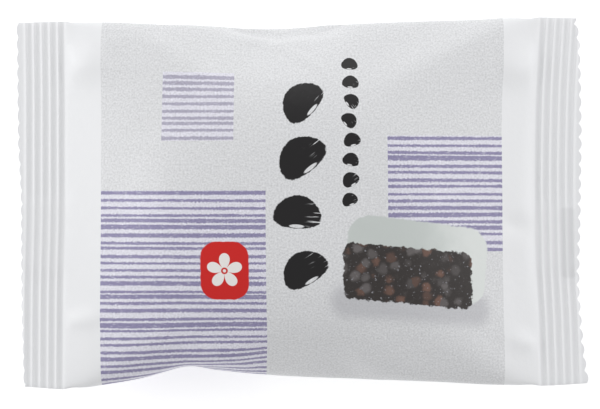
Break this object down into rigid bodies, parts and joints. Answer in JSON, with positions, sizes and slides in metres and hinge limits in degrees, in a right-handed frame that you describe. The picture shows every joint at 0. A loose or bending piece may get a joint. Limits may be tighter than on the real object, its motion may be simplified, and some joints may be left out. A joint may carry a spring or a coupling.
{
  "type": "flow-wrapped sweet packet",
  "caption": "Sealed pillow packet of white film around one bean-paste sweet, with ribbed, toothed end bands and a fin seam folded flat along its back.",
  "frame": {"origin": "on the surface that the packet lies on, under the middle of its bounding box", "axes": "+X along the packet towards the end that is on the right when the print is upright, +Y across it towards the top of the print, +Z out of the printed front"},
  "size_m": [0.1202, 0.0786, 0.0207],
  "materials": {
    "white_film": "white laminated film with a soft sheen and a pale grey printed panel"
  },
  "bodies": {
    "root": {"packet": "white_film"}
  },
  "joints": []
}
